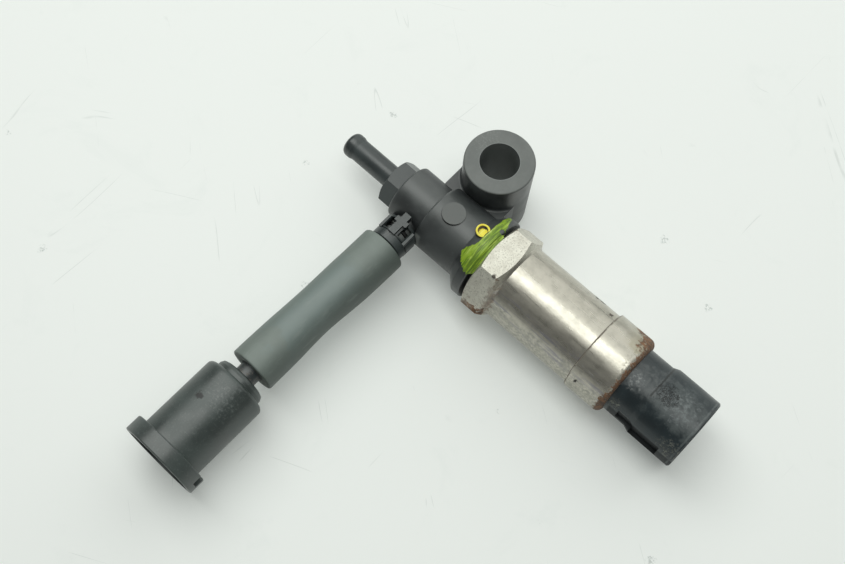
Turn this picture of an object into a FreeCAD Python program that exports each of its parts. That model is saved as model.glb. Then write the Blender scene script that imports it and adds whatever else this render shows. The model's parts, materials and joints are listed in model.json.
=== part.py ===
"""Solenoid dosing injector: metal solenoid cartridge in a moulded manifold with a hose branch.

Row frame, millimetres: origin on the axis of the mounting boss at the height of the main
axis, +X along the main axis from the inlet nipple to the electrical connector, +Z up along
the boss bore.  The side branch leaves the manifold towards -Y.
"""
import FreeCAD, Part

import math
import os
import re

import Sketcher

from FreeCAD import Placement, Rotation, Vector

DOC = FreeCAD.newDocument("dosing_injector")
SHEET = DOC.addObject("Spreadsheet::Sheet", "dims")

# Driving dimensions.  A name ending in _x is a place along the main axis, one ending in _s is
# a distance from the main axis along the side branch, and a radius ends in _radius.
DIMENSIONS = {
    # layout
    "axis_offset": 20.4,
    "branch_x": -10.2,
    "cup_x": -11.3,
    # manifold
    "front_x": -17.9,
    "step_x": -5.8,
    "shoulder_x": 9.5,
    "flange_x": 12.7,
    "rear_x": 15.7,
    "front_radius": 9.1,
    "barrel_radius": 10.9,
    "flange_radius": 14.0,
    "edge_round": 0.8,
    "boss_radius": 10.8,
    "boss_bore_radius": 6.05,
    "boss_top": 15.0,
    "boss_bottom": -14.0,
    "boss_edge": 0.5,
    "web_half_width": 10.2,
    "web_half_height": 4.0,
    "gate_x": 0.5,
    "gate_radius": 3.6,
    "gate_top": 11.2,
    "pip_x": 10.9,
    "pip_side": 0.9,
    "pip_radius": 2.15,
    "pip_top": 13.5,
    "pip_recess_radius": 1.5,
    "pip_recess_depth": 0.8,
    "chamber_radius": 4.6,
    "port_radius": 5.6,
    "port_x": -4.0,
    "thread_radius": 8.0,
    "thread_start_x": 5.5,
    "stub_radius": 4.05,
    "stub_end_s": 14.3,
    "stub_groove_s": 11.6,
    "stub_groove_width": 1.4,
    "stub_groove_radius": 3.2,
    "branch_bore_radius": 2.2,
    "fit_gap": 0.05,
    "latch_tip_s": 7.9,
    "latch_bar_s": 10.1,
    "latch_bar_end_s": 11.8,
    "latch_half_width": 1.15,
    "latch_bar_half_width": 2.2,
    "latch_bottom": 4.3,
    "latch_top": 6.7,
    # inlet nipple
    "nipple_tip_x": -42.4,
    "bead_end_x": -39.4,
    "taper_end_x": -38.2,
    "nipple_hex_x": -23.3,
    "nipple_end_x": -12.9,
    "bead_radius": 4.0,
    "bead_round": 1.7,
    "tail_radius": 3.65,
    "shaft_radius": 3.4,
    "nipple_bore_radius": 1.9,
    "nipple_socket_radius": 2.9,
    "nipple_socket_x": -21.8,
    "nipple_flats": 13.8,
    "shank_radius": 5.0,
    "shank_groove_radius": 3.9,
    "shank_groove_x": -17.0,
    "shank_groove_width": 1.4,
    "filter_wall": 1.0,
    "filter_end_x": -16.0,
    "feed_tube_radius": 1.6,
    "feed_bore_radius": 0.9,
    "feed_tube_end_x": 0.3,
    # solenoid housing
    "nose_x": -3.0,
    "nose_radius": 4.2,
    "spigot_x": 6.0,
    "relief_x": 15.0,
    "relief_radius": 7.1,
    "hex_x": 16.75,
    "hex_end_x": 24.93,
    "hex_flats": 27.0,
    "hex_chamfer": 1.35,
    "hex_face_radius": 13.2,
    "tube_radius": 12.4,
    "joint_x": 56.2,
    "rim_radius": 11.9,
    "rim_end_x": 60.0,
    "coil_bay_radius": 10.6,
    "coil_bay_x": 27.0,
    "plunger_bay_x": 21.0,
    "seat_bore_radius": 3.0,
    "seat_x": 0.5,
    "seat_length": 2.5,
    "seat_orifice_radius": 0.6,
    "seat_mouth_radius": 1.7,
    "nose_groove_radius": 2.75,
    "nose_groove_width": 1.8,
    "cross_port_x": 4.3,
    "cross_port_radius": 0.8,
    # moving core and its guides
    "needle_radius": 1.5,
    "needle_tip_radius": 0.4,
    "needle_tip_x": 1.73,
    "needle_end_x": 28.0,
    "guide_x": 12.0,
    "guide_length": 4.0,
    "armature_x": 22.0,
    "armature_end_x": 36.0,
    "armature_radius": 4.7,
    "stroke": 0.6,
    "spring_pocket_radius": 2.45,
    "spring_pocket_x": 30.2,
    "spring_end_x": 41.8,
    "spring_radius": 2.0,
    "spring_wire_radius": 0.25,
    "spring_turns": 9.0,
    "core_end_x": 55.7,
    "adjuster_length": 7.0,
    "adjuster_bore_radius": 0.9,
    "sleeve_wall": 0.45,
    "sleeve_end_x": 52.5,
    # coil
    "bobbin_x": 29.0,
    "bobbin_end_x": 52.5,
    "bobbin_bore_radius": 5.3,
    "bobbin_barrel_radius": 6.3,
    "bobbin_flange_radius": 10.2,
    "bobbin_flange": 1.2,
    "winding_radius": 9.8,
    "washer_radius": 10.5,
    "front_washer": 1.9,
    "rear_washer": 3.0,
    # crimp sleeve and connector
    "crimp_radius": 13.17,
    "crimp_round": 2.1,
    "crimp_end_x": 69.3,
    "shoulder_end_x": 66.2,
    "collar_radius": 10.9,
    "collar_end_x": 77.0,
    "head_x": 79.0,
    "head_end_x": 93.9,
    "head_radius": 11.7,
    "head_edge": 0.5,
    "socket_radius": 9.4,
    "socket_x": 79.5,
    "carrier_x": 71.0,
    "carrier_radius": 6.0,
    "plug_x": 55.8,
    "plug_bore_radius": 4.0,
    "plug_groove_x": 57.4,
    "plug_groove_width": 2.0,
    "plug_groove_radius": 8.6,
    "pin_radius": 1.0,
    "pin_side": 2.5,
    "pin_x": 56.2,
    "pin_end_x": 88.5,
    "track_x": 73.5,
    "track_end_x": 88.7,
    "track_low": -3.0,
    "track_high": 3.8,
    "track_floor": 9.9,
    "track_neck_low": -0.6,
    "socket_seal_inner": 6.2,
    "socket_seal_width": 1.75,
    # hose branch
    "neck_radius": 5.7,
    "neck_s": 9.9,
    "neck_end_s": 18.1,
    "neck_socket_s": 15.1,
    "stem_radius": 3.55,
    "stem_bore_radius": 2.0,
    "tail_end_s": 34.0,
    "barb_radius": 4.0,
    "barb_length": 2.2,
    "barb_pitch": 4.2,
    "window_inner": 1.7,
    "window_outer": 3.8,
    "rib_inner": 4.2,
    "rib_side": 5.0,
    "rib_half_height": 4.2,
    "hose_s": 18.75,
    "hose_end_s": 72.6,
    "hose_radius": 7.5,
    "hose_bore_radius": 3.7,
    # coupling cup
    "spigot_tail_s": 56.0,
    "spigot_flange_s": 78.6,
    "spigot_flange": 1.6,
    "spigot_flange_radius": 6.0,
    "spigot_tip_radius": 3.0,
    "spigot_tip_s": 83.0,
    "ring_s": 75.9,
    "ring_radius": 8.0,
    "ring_small_radius": 6.6,
    "ring_bevel": 1.4,
    "cup_s": 78.5,
    "cup_radius": 10.35,
    "cup_round": 1.5,
    "cup_flange_s": 103.7,
    "cup_end_s": 108.8,
    "cup_flange_radius": 12.8,
    "cup_mouth_radius": 11.0,
    "cup_mouth_depth": 4.2,
    "cup_bore_radius": 9.0,
    "cup_floor_s": 84.05,
    "swivel_pocket_radius": 6.1,
    "swivel_pocket_s": 80.4,
    "cup_groove_s": 82.0,
    "cup_groove_radius": 4.7,
    "cup_seal_inner": 4.0,
    "cup_seal_width": 1.9,
    "cup_seal_outer": 8.6,
    "cup_seal_s": 86.05,
    "notch_half_width": 1.6,
    "notch_low": -0.6,
    "notch_depth": 1.7,
    "notch_length": 3.0,
}

for row, (alias, size) in enumerate(DIMENSIONS.items(), start=1):
    SHEET.set(f"A{row}", alias)
    SHEET.set(f"B{row}", str(size))
    SHEET.setAlias(f"B{row}", alias)
DOC.recompute()

TRACKS = 2
BARBS = 3
SEAM_TILT = 125  # keeps the seam of the connector's turned faces clear of its bayonet tracks
MAIN = "main axis"
BRANCH = "branch axis"
CUP = "cup axis"
PIECES = []


def bound(text):
    """Turn words of the sheet into references to its cells."""
    return re.sub(r"\b[a-z]\w*\b(?!\()", lambda word: "dims." + word.group(), text)


def size_of(text):
    """The present value of an expression in words of the sheet."""
    return float(SHEET.evalExpression(bound(text)))


def new_body(label, seat=MAIN):
    """An empty body seated on the main axis, or on the branch or cup axis with +X outwards."""
    body = DOC.addObject("PartDesign::Body", label)
    body.Label = label
    if seat != MAIN:
        body.Placement.Rotation = Rotation(Vector(0, 0, 1), -90)
        body.setExpression("Placement.Base.x", bound("branch_x" if seat == BRANCH else "cup_x"))
    body.setExpression("Placement.Base.y", bound("-axis_offset"))
    PIECES.append(body)
    return body


def new_sketch(body, plane, along="0", right="0", up="0", turn=0, tilt=0):
    """A sketch on one of the body's own origin planes, moved or turned there, or tilted about X."""
    sketch = body.newObject("Sketcher::SketchObject", body.Label + "_sketch")
    face = next(item for item in body.Origin.OriginFeatures if item.Role == plane)
    sketch.AttachmentSupport = [(face, "")]
    sketch.MapMode = "FlatFace"
    spin = Rotation(Vector(0, 0, 1), turn).multiply(Rotation(Vector(1, 0, 0), tilt))
    sketch.AttachmentOffset = Placement(Vector(), spin)
    for axis, text in (("x", right), ("y", up), ("z", along)):
        if text != "0":
            sketch.setExpression("AttachmentOffset.Base." + axis, bound(text))
    return sketch


def bind(sketch, kind, first, second, text):
    """Add a dimension between two sketch points and bind it to the sheet."""
    index = sketch.addConstraint(Sketcher.Constraint(kind, *first, *second, size_of(text)))
    sketch.setExpression(f"Constraints[{index}]", bound(text))


def outline(sketch, corners):
    """A closed polygon through corners given as (across, up) expressions; "0" lies on an axis."""
    points = [Vector(size_of(across), size_of(up), 0) for across, up in corners]
    for index, point in enumerate(points):
        following = points[(index + 1) % len(points)]
        sketch.addGeometry(Part.LineSegment(point, following), False)
    for index, (across, up) in enumerate(corners):
        previous = (index - 1) % len(corners)
        sketch.addConstraint(Sketcher.Constraint("Coincident", previous, 2, index, 1))
        for kind, axis, text in (("DistanceX", -2, across), ("DistanceY", -1, up)):
            if text == "0":
                sketch.addConstraint(Sketcher.Constraint("PointOnObject", index, 1, axis))
            else:
                bind(sketch, kind, (-1, 1), (index, 1), text)
    return sketch


def circle(sketch, radius, across="0", up="0"):
    """A circle with its radius and centre bound to the sheet."""
    centre = Vector(size_of(across), size_of(up), 0)
    shape = Part.Circle(centre, Vector(0, 0, 1), size_of(radius))
    geometry = sketch.addGeometry(shape, False)
    index = sketch.addConstraint(Sketcher.Constraint("Radius", geometry, size_of(radius)))
    sketch.setExpression(f"Constraints[{index}]", bound(radius))
    for kind, axis, text in (("DistanceX", -2, across), ("DistanceY", -1, up)):
        if text == "0":
            sketch.addConstraint(Sketcher.Constraint("PointOnObject", geometry, 3, axis))
        else:
            bind(sketch, kind, (-1, 1), (geometry, 3), text)
    return sketch


def rectangle(sketch, left, right, low, high):
    """A rectangle between four expressions."""
    return outline(sketch, [(left, low), (right, low), (right, high), (left, high)])


def hexagon(sketch, flats):
    """A hexagon about the origin with two sides level, inside a larger circle."""
    middle = f"{flats} / 2"
    corner = f"{flats} * 0.57735"
    half = f"{flats} * 0.288675"
    outline(sketch, [
        (half, middle), (f"-{half}", middle), (f"-{corner}", "0"),
        (f"-{half}", f"-{middle}"), (half, f"-{middle}"), (corner, "0"),
    ])
    return circle(sketch, flats)


def check_cut(body, feature, before):
    """Stop if a cut left the body's volume as it was."""
    if before and body.Shape.Volume > before - 0.01:
        raise RuntimeError(f"{feature.Label} removes nothing from {body.Label}")


def revolve(body, sketch, cut=False):
    """Turn a closed profile about its sketch's own X axis, to add it or to cut it."""
    kind = "Groove" if cut else "Revolution"
    before = body.Shape.Volume if cut else 0
    feature = body.newObject("PartDesign::" + kind, f"{body.Label}_{kind.lower()}")
    feature.Profile = sketch
    feature.ReferenceAxis = (sketch, ["H_Axis"])
    feature.Angle = 360
    DOC.recompute()
    check_cut(body, feature, before)


def extrude(body, sketch, length, cut=False, reverse=False, middle=False):
    """Pad or pocket a sketch by an expression's length."""
    kind = "Pocket" if cut else "Pad"
    before = body.Shape.Volume if cut else 0
    feature = body.newObject("PartDesign::" + kind, f"{body.Label}_{kind.lower()}")
    feature.Profile = sketch
    feature.Reversed = reverse
    feature.Midplane = middle
    feature.setExpression("Length", bound(length))
    DOC.recompute()
    check_cut(body, feature, before)
    return feature


def turned(label, corners, seat=MAIN, tilt=0):
    """A turned piece: corners are (place along the axis, radius) round its half section."""
    body = new_body(label, seat)
    revolve(body, outline(new_sketch(body, "XY_Plane", tilt=tilt), corners))
    DOC.recompute()
    return body


def ring_edges(shape, centre_x, radius):
    """Names of the circular edges about the X axis at one place and radius."""
    return [
        f"Edge{number}"
        for number, edge in enumerate(shape.Edges, start=1)
        if isinstance(edge.Curve, Part.Circle)
        and abs(edge.Curve.Radius - radius) < 0.01
        and abs(edge.Curve.Center.x - centre_x) < 0.01
    ]


def round_edges(body, size, edges):
    """Round the named edges of the body's last feature."""
    base = body.Tip
    feature = body.newObject("PartDesign::Fillet", body.Label + "_round")
    feature.Base = (base, edges)
    feature.setExpression("Radius", bound(size))
    DOC.recompute()


def o_ring(label, centre, inner, outer, seat=MAIN):
    """A round-section ring that fills a groove between two radii."""
    body = new_body(label, seat)
    section = circle(new_sketch(body, "XY_Plane"), f"({outer} - ({inner})) / 2 - fit_gap / 2",
                     centre, f"({outer} + {inner}) / 2")
    revolve(body, section)
    DOC.recompute()
    return body


def mill_hexagon(body, flats, start, length):
    """Mill a turned collar down to a hexagon."""
    extrude(body, hexagon(new_sketch(body, "YZ_Plane", start), flats), length, cut=True, reverse=True)


# --- manifold -------------------------------------------------------------------------------

def boss_edges(shape, level):
    """Names of the edges round the boss at one height."""
    return [
        f"Edge{number}"
        for number, edge in enumerate(shape.Edges, start=1)
        if isinstance(edge.Curve, Part.Circle)
        and abs(edge.Curve.Radius - size_of("boss_radius")) < 0.01
        and abs(edge.Curve.Center.z - level) < 0.01
    ]


def make_manifold():
    """Moulded body with its flange, mounting boss, web, gate pad, pip, branch stub and bores."""
    body = turned("manifold_body", [
        ("front_x", "0"), ("front_x", "front_radius"), ("step_x", "front_radius"),
        ("step_x", "barrel_radius"), ("shoulder_x", "barrel_radius"),
        ("flange_x", "flange_radius"), ("rear_x", "flange_radius"), ("rear_x", "0"),
    ])
    front = ring_edges(body.Shape, size_of("front_x"), size_of("front_radius"))
    step = ring_edges(body.Shape, size_of("step_x"), size_of("barrel_radius"))
    round_edges(body, "edge_round", front + step)
    rim = ring_edges(body.Shape, size_of("flange_x"), size_of("flange_radius"))
    rim += ring_edges(body.Shape, size_of("rear_x"), size_of("flange_radius"))
    round_edges(body, "edge_round / 2", rim)

    boss = circle(new_sketch(body, "XY_Plane", "boss_bottom", up="axis_offset"), "boss_radius")
    extrude(body, boss, "boss_top - boss_bottom")
    web = rectangle(new_sketch(body, "XY_Plane"), "-web_half_width", "web_half_width",
                    "barrel_radius / 2", "axis_offset")
    extrude(body, web, "web_half_height * 2", middle=True)
    for level in ("web_half_height", "-web_half_height"):
        round_edges(body, "edge_round", boss_edges(body.Shape, size_of(level)))
    gate = circle(new_sketch(body, "XY_Plane"), "gate_radius", "gate_x")
    extrude(body, gate, "gate_top")
    pip = circle(new_sketch(body, "XY_Plane"), "pip_radius", "pip_x", "pip_side")
    extrude(body, pip, "pip_top")
    stub = rectangle(new_sketch(body, "XY_Plane", right="branch_x", turn=-90),
                     "front_radius / 2", "stub_end_s", "0", "stub_radius")
    revolve(body, stub)

    recess = circle(new_sketch(body, "XY_Plane", "pip_top"), "pip_recess_radius", "pip_x", "pip_side")
    extrude(body, recess, "pip_recess_depth", cut=True)
    hole = circle(new_sketch(body, "XY_Plane", "boss_top", up="axis_offset"), "boss_bore_radius")
    extrude(body, hole, "boss_top - boss_bottom", cut=True)
    bores = outline(new_sketch(body, "XY_Plane"), [
        ("front_x", "0"), ("front_x", "shank_radius + fit_gap"),
        ("nipple_end_x + fit_gap", "shank_radius + fit_gap"),
        ("nipple_end_x + fit_gap", "chamber_radius"), ("port_x", "chamber_radius"),
        ("port_x", "port_radius"), ("thread_start_x", "port_radius"),
        ("thread_start_x", "thread_radius + fit_gap"), ("rear_x", "thread_radius + fit_gap"),
        ("rear_x", "0"),
    ])
    revolve(body, bores, cut=True)
    branch = rectangle(new_sketch(body, "XY_Plane", right="branch_x", turn=-90),
                       "chamber_radius / 2", "stub_end_s", "0", "branch_bore_radius")
    revolve(body, branch, cut=True)
    groove = rectangle(new_sketch(body, "XY_Plane", right="branch_x", turn=-90),
                       "stub_groove_s", "stub_groove_s + stub_groove_width",
                       "stub_groove_radius", "stub_radius + fit_gap")
    revolve(body, groove, cut=True)
    seat = rectangle(new_sketch(body, "XY_Plane", right="branch_x", turn=-90),
                     "neck_s - fit_gap * 4", "stub_end_s", "stub_radius + fit_gap",
                     "neck_radius + fit_gap * 4")
    revolve(body, seat, cut=True)
    pocket_edge = "(latch_half_width + fit_gap * 4)"
    for level, reverse in (("latch_bottom - fit_gap * 4", True), ("-latch_bottom + fit_gap * 4", False)):
        catch = rectangle(new_sketch(body, "XY_Plane", level, right="branch_x", turn=-90),
                          "latch_tip_s - fit_gap * 6", "front_radius * 2",
                          f"-{pocket_edge}", pocket_edge)
        extrude(body, catch, "front_radius", cut=True, reverse=reverse)
    round_edges(body, "boss_edge", boss_edges(body.Shape, size_of("boss_top")))


# --- inlet ----------------------------------------------------------------------------------

def make_inlet():
    """Screwed-in hose nipple with its seal, filter and the tube that feeds the valve seat."""
    nipple = turned("inlet_nipple", [
        ("nipple_tip_x", "nipple_bore_radius"), ("nipple_tip_x", "bead_radius"),
        ("bead_end_x", "bead_radius"), ("taper_end_x", "tail_radius"),
        ("nipple_hex_x", "tail_radius"), ("nipple_hex_x", "nipple_flats / 2"),
        ("nipple_hex_x + edge_round", "nipple_flats * 0.6"),
        ("front_x - fit_gap", "nipple_flats * 0.6"), ("front_x - fit_gap", "shank_radius"),
        ("shank_groove_x", "shank_radius"), ("shank_groove_x", "shank_groove_radius"),
        ("shank_groove_x + shank_groove_width", "shank_groove_radius"),
        ("shank_groove_x + shank_groove_width", "shank_radius"),
        ("nipple_end_x", "shank_radius"), ("nipple_end_x", "nipple_socket_radius"),
        ("nipple_socket_x", "nipple_socket_radius"), ("nipple_socket_x", "nipple_bore_radius"),
    ])
    tip = ring_edges(nipple.Shape, size_of("nipple_tip_x"), size_of("bead_radius"))
    round_edges(nipple, "bead_round", tip)
    mill_hexagon(nipple, "nipple_flats", "nipple_hex_x", "front_x - fit_gap - nipple_hex_x")
    o_ring("inlet_nipple_o_ring", "shank_groove_x + shank_groove_width / 2",
           "shank_groove_radius", "shank_radius + fit_gap")
    start = "nipple_socket_x + fit_gap"
    outer = "nipple_socket_radius - fit_gap"
    turned("inlet_filter", [
        (start, "0"), (start, f"{outer} - filter_wall"), (f"{start} + filter_wall", outer),
        ("filter_end_x", outer), ("filter_end_x", f"{outer} - filter_wall"),
        (f"{start} + filter_wall * 1.5", f"{outer} - filter_wall"),
        (f"{start} + filter_wall * 1.5", "0"),
    ])
    turned("feed_tube", [
        ("filter_end_x + fit_gap", "feed_bore_radius"), ("filter_end_x + fit_gap", outer),
        ("nipple_end_x - fit_gap", outer), ("nipple_end_x - fit_gap", "feed_tube_radius"),
        ("feed_tube_end_x", "feed_tube_radius"), ("feed_tube_end_x", "feed_bore_radius"),
    ])
    o_ring("feed_tube_o_ring", "seat_x - nose_groove_width / 2 - fit_gap * 8",
           "feed_tube_radius", "nose_groove_radius")


# --- valve and solenoid ---------------------------------------------------------------------

def make_housing():
    """Plated steel housing: drilled nose, threaded spigot, hexagon and tube in one turning."""
    groove_end = "seat_x - fit_gap * 8"
    guide = "feed_tube_radius + fit_gap"
    corner = "hex_flats * 0.58"
    housing = turned("solenoid_housing", [
        ("nose_x", guide), ("nose_x", "nose_radius - edge_round / 2"),
        ("nose_x + edge_round / 2", "nose_radius"), ("spigot_x", "nose_radius"),
        ("spigot_x", "thread_radius - edge_round"), ("spigot_x + edge_round", "thread_radius"),
        ("relief_x", "thread_radius"), ("relief_x", "relief_radius"), ("hex_x", "relief_radius"),
        ("hex_x", "hex_face_radius"), ("hex_x + hex_chamfer", corner),
        ("hex_end_x - hex_chamfer", corner),
        ("hex_end_x", "hex_face_radius"), ("hex_end_x + hex_face_radius - tube_radius", "tube_radius"),
        ("joint_x", "tube_radius"), ("joint_x", "rim_radius"), ("rim_end_x", "rim_radius"),
        ("rim_end_x", "coil_bay_radius"), ("coil_bay_x", "coil_bay_radius"),
        ("coil_bay_x", "bobbin_bore_radius"), ("plunger_bay_x", "bobbin_bore_radius"),
        ("plunger_bay_x", "seat_bore_radius"), ("seat_x", "seat_bore_radius"), ("seat_x", guide),
        (groove_end, guide), (groove_end, "nose_groove_radius"),
        (f"{groove_end} - nose_groove_width", "nose_groove_radius"),
        (f"{groove_end} - nose_groove_width", guide),
    ])
    mill_hexagon(housing, "hex_flats", "hex_x", "hex_end_x - hex_x")
    for plane in ("XY_Plane", "XZ_Plane"):
        port = circle(new_sketch(housing, plane), "cross_port_radius", "cross_port_x")
        extrude(housing, port, "nose_radius * 3", cut=True, middle=True)
    turned("face_seal", [
        ("rear_x + fit_gap", "thread_radius + fit_gap * 4"), ("rear_x + fit_gap", "barrel_radius"),
        ("hex_x - fit_gap", "barrel_radius"), ("hex_x - fit_gap", "thread_radius + fit_gap * 4"),
    ])


def make_valve():
    """Seat, needle and guide, then the armature, spring and fixed core behind them."""
    seat_end = "seat_x + seat_length"
    throat = f"{seat_end} - seat_mouth_radius + seat_orifice_radius"
    turned("valve_seat", [
        ("seat_x", "seat_orifice_radius"), ("seat_x", "seat_bore_radius - fit_gap"),
        (seat_end, "seat_bore_radius - fit_gap"), (seat_end, "seat_mouth_radius"),
        (throat, "seat_orifice_radius"),
    ])
    turned("valve_needle", [
        ("needle_tip_x", "0"), ("needle_tip_x", "needle_tip_radius"),
        ("needle_tip_x + needle_radius - needle_tip_radius", "needle_radius"),
        ("needle_end_x", "needle_radius"), ("needle_end_x", "0"),
    ])
    guide = turned("needle_guide", [
        ("guide_x", "needle_radius + fit_gap"), ("guide_x", "seat_bore_radius - fit_gap"),
        ("guide_x + guide_length", "seat_bore_radius - fit_gap"),
        ("guide_x + guide_length", "needle_radius + fit_gap"),
    ])
    relief = rectangle(new_sketch(guide, "YZ_Plane", "guide_x"), "seat_bore_radius * 0.8",
                       "seat_bore_radius", "-needle_radius", "needle_radius")
    extrude(guide, relief, "guide_length", cut=True, reverse=True)
    armature = turned("armature", [
        ("armature_x", "needle_radius"), ("armature_x", "armature_radius - edge_round / 2"),
        ("armature_x + edge_round / 2", "armature_radius"), ("armature_end_x", "armature_radius"),
        ("armature_end_x", "spring_pocket_radius"), ("spring_pocket_x", "spring_pocket_radius"),
        ("spring_pocket_x", "0"), ("needle_end_x + fit_gap", "0"),
        ("needle_end_x + fit_gap", "needle_radius"),
    ])
    for side in ("", "-"):
        vent = rectangle(new_sketch(armature, "YZ_Plane", "armature_x"),
                         f"{side}armature_radius * 0.86", f"{side}armature_radius * 1.1",
                         "-needle_radius / 2", "needle_radius / 2")
        extrude(armature, vent, "armature_end_x - armature_x", cut=True, reverse=True)
    core_x = "armature_end_x + stroke"
    turned("pole_core", [
        (core_x, "spring_pocket_radius"), (core_x, "armature_radius"),
        ("core_end_x", "armature_radius"), ("core_end_x", "spring_pocket_radius"),
    ])
    adjuster_x = "spring_end_x + fit_gap"
    turned("spring_adjuster", [
        (adjuster_x, "adjuster_bore_radius"), (adjuster_x, "spring_pocket_radius - fit_gap"),
        (f"{adjuster_x} + adjuster_length", "spring_pocket_radius - fit_gap"),
        (f"{adjuster_x} + adjuster_length", "adjuster_bore_radius"),
    ])
    turned("guide_tube", [
        ("plunger_bay_x + fit_gap", "armature_radius + fit_gap"),
        ("plunger_bay_x + fit_gap", "armature_radius + sleeve_wall"),
        ("sleeve_end_x", "armature_radius + sleeve_wall"),
        ("sleeve_end_x", "armature_radius + fit_gap"),
    ])


def make_spring():
    """Round-wire compression spring between the armature pocket and the adjuster."""
    body = new_body("return_spring")
    start = "spring_pocket_x + spring_wire_radius + fit_gap"
    travel = "spring_end_x - spring_pocket_x - spring_wire_radius * 2 - fit_gap * 2"
    sketch = circle(new_sketch(body, "XY_Plane"), "spring_wire_radius", start, "spring_radius")
    helix = body.newObject("PartDesign::AdditiveHelix", "return_spring_coils")
    helix.Profile = sketch
    helix.ReferenceAxis = (sketch, ["H_Axis"])
    helix.Mode = "height-turns-angle"
    helix.setExpression("Height", bound(travel))
    helix.setExpression("Turns", bound("spring_turns"))
    DOC.recompute()


def make_coil():
    """Bobbin, winding and the two flux washers that close the magnetic circuit."""
    inner_x = "bobbin_x + bobbin_flange"
    outer_x = "bobbin_end_x - bobbin_flange"
    turned("coil_bobbin", [
        ("bobbin_x", "bobbin_bore_radius"), ("bobbin_x", "bobbin_flange_radius"),
        (inner_x, "bobbin_flange_radius"), (inner_x, "bobbin_barrel_radius"),
        (outer_x, "bobbin_barrel_radius"), (outer_x, "bobbin_flange_radius"),
        ("bobbin_end_x", "bobbin_flange_radius"), ("bobbin_end_x", "bobbin_bore_radius"),
    ])
    plain_ring("coil_winding", f"{inner_x} + fit_gap", f"{outer_x} - fit_gap",
               "bobbin_barrel_radius + fit_gap", "winding_radius")
    plain_ring("front_flux_washer", "coil_bay_x + fit_gap", "coil_bay_x + fit_gap + front_washer",
               "bobbin_bore_radius", "washer_radius")
    plain_ring("rear_flux_washer", "bobbin_end_x + fit_gap", "bobbin_end_x + fit_gap + rear_washer",
               "armature_radius + fit_gap", "washer_radius")


def plain_ring(label, start, end, inner, outer, seat=MAIN):
    """A plain washer or sleeve."""
    return turned(label, [(start, inner), (start, outer), (end, outer), (end, inner)], seat)


# --- connector ------------------------------------------------------------------------------

def make_connector():
    """Crimp sleeve and round two-pole connector with bayonet tracks."""
    sleeve = turned("crimp_sleeve", [
        ("joint_x + fit_gap", "rim_radius + fit_gap"), ("joint_x + fit_gap", "crimp_radius - fit_gap * 4"),
        ("joint_x + fit_gap * 5", "crimp_radius"), ("crimp_end_x", "crimp_radius"),
        ("crimp_end_x", "collar_radius + fit_gap"),
        ("shoulder_end_x + fit_gap", "collar_radius + fit_gap"),
        ("shoulder_end_x + fit_gap", "rim_radius + fit_gap"),
    ])
    round_edges(sleeve, "crimp_round",
                ring_edges(sleeve.Shape, size_of("crimp_end_x"), size_of("crimp_radius")))
    connector = turned("connector_housing", [
        ("plug_x", "plug_bore_radius"), ("plug_x", "washer_radius"),
        ("plug_groove_x", "washer_radius"), ("plug_groove_x", "plug_groove_radius"),
        ("plug_groove_x + plug_groove_width", "plug_groove_radius"),
        ("plug_groove_x + plug_groove_width", "washer_radius"),
        ("rim_end_x + fit_gap", "washer_radius"), ("rim_end_x + fit_gap", "rim_radius"),
        ("shoulder_end_x", "rim_radius"), ("shoulder_end_x", "collar_radius"),
        ("collar_end_x", "collar_radius"), ("head_x", "head_radius"),
        ("head_end_x - head_edge", "head_radius"), ("head_end_x", "head_radius - head_edge"),
        ("head_end_x", "socket_radius"), ("socket_x", "socket_radius"),
        ("socket_x", "carrier_radius"), ("carrier_x", "carrier_radius"),
        ("carrier_x", "plug_bore_radius"),
    ], tilt=SEAM_TILT)
    track = outline(new_sketch(connector, "XZ_Plane", "track_floor"), [
        ("track_x", "track_neck_low"), ("head_x", "track_neck_low"), ("head_x", "track_low"),
        ("track_end_x", "track_low"), ("track_end_x", "track_high"), ("track_x", "track_high"),
    ])
    first = extrude(connector, track, "head_radius", cut=True, reverse=True)
    pattern = connector.newObject("PartDesign::PolarPattern", "connector_housing_tracks")
    pattern.Originals = [first]
    pattern.Axis = (next(item for item in connector.Origin.OriginFeatures if item.Role == "X_Axis"), [""])
    pattern.Angle = 360
    pattern.Occurrences = TRACKS
    connector.Tip = pattern
    DOC.recompute()
    o_ring("housing_o_ring", "plug_groove_x + plug_groove_width / 2", "plug_groove_radius",
           "coil_bay_radius")
    plain_ring("connector_seal", "socket_x + fit_gap", "socket_x + fit_gap + socket_seal_width",
               "socket_seal_inner", "socket_radius - fit_gap")
    carrier = turned("terminal_carrier", [
        ("carrier_x + fit_gap", "0"), ("carrier_x + fit_gap", "carrier_radius - fit_gap"),
        ("socket_x", "carrier_radius - fit_gap"), ("socket_x", "0"),
    ])
    for name, side in (("left", ""), ("right", "-")):
        hole = circle(new_sketch(carrier, "YZ_Plane", "carrier_x"), "pin_radius + fit_gap",
                      f"{side}pin_side")
        extrude(carrier, hole, "socket_x - carrier_x", cut=True, reverse=True)
        make_pin("contact_pin_" + name, side)


def make_pin(label, side):
    """Round contact pin with a bullet nose, beside the main axis."""
    pin = new_body(label)
    section = outline(new_sketch(pin, "XY_Plane", up=f"{side}pin_side"), [
        ("pin_x", "0"), ("pin_x", "pin_radius"), ("pin_end_x - pin_radius", "pin_radius"),
        ("pin_end_x", "pin_radius / 3"), ("pin_end_x", "0"),
    ])
    revolve(pin, section)
    DOC.recompute()


# --- hose branch ----------------------------------------------------------------------------

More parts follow.
